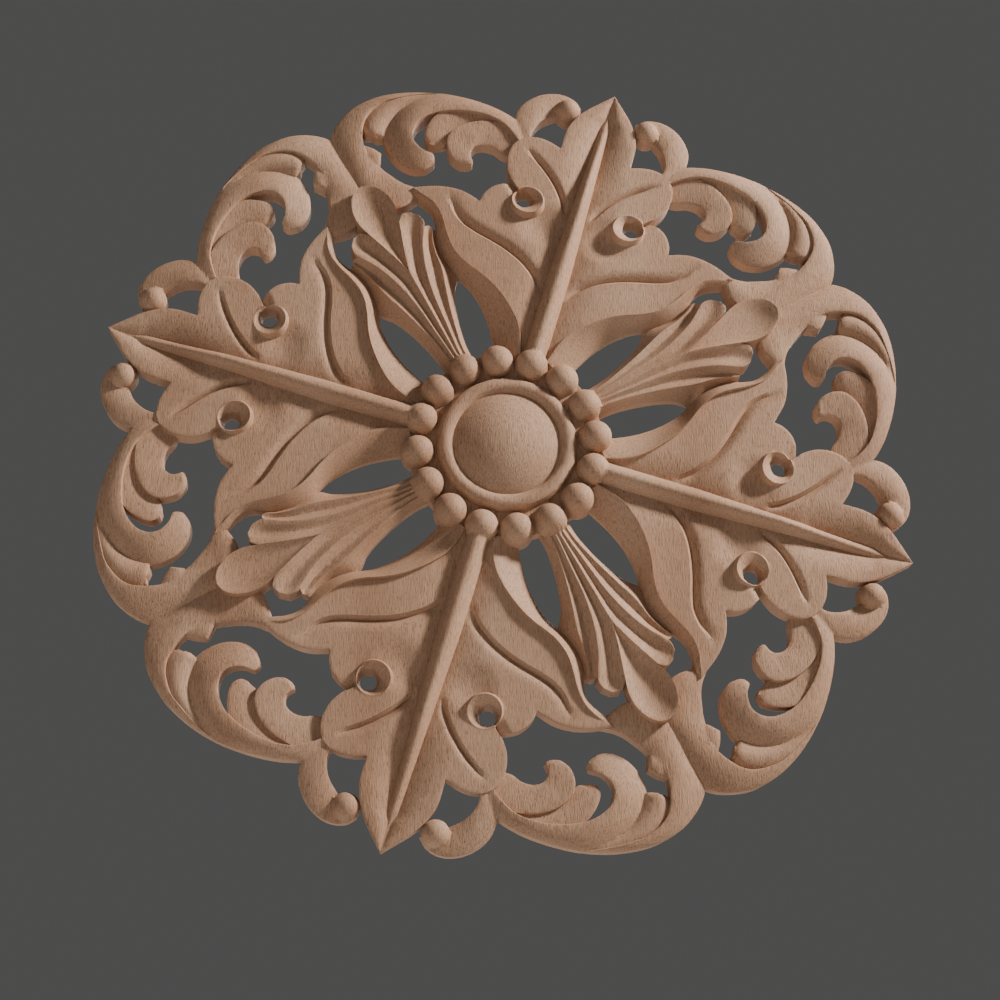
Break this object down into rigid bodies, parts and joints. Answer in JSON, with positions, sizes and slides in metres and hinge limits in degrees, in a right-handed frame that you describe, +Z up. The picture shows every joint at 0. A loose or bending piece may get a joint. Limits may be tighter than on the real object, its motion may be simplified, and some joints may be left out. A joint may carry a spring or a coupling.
{
  "type": "carved wooden rosette",
  "caption": "Pierced carved wood rosette: lobed leaves on a cross, fluted shells on the diagonals, scrolls between them and a beaded centre boss, with a flat back to fix to furniture or a wall.",
  "frame": {"origin": "centre of the flat back, behind the middle of the boss", "axes": "+Y out of the flat back, towards what the rosette is fixed to; the carved face looks toward -Y; +Z up along one leaf, +X along the next"},
  "size_m": [0.4, 0.0172, 0.4],
  "materials": {
    "wood": "raw, unfinished, finely sanded"
  },
  "bodies": {
    "root": {"rosette": "wood"}
  },
  "joints": []
}
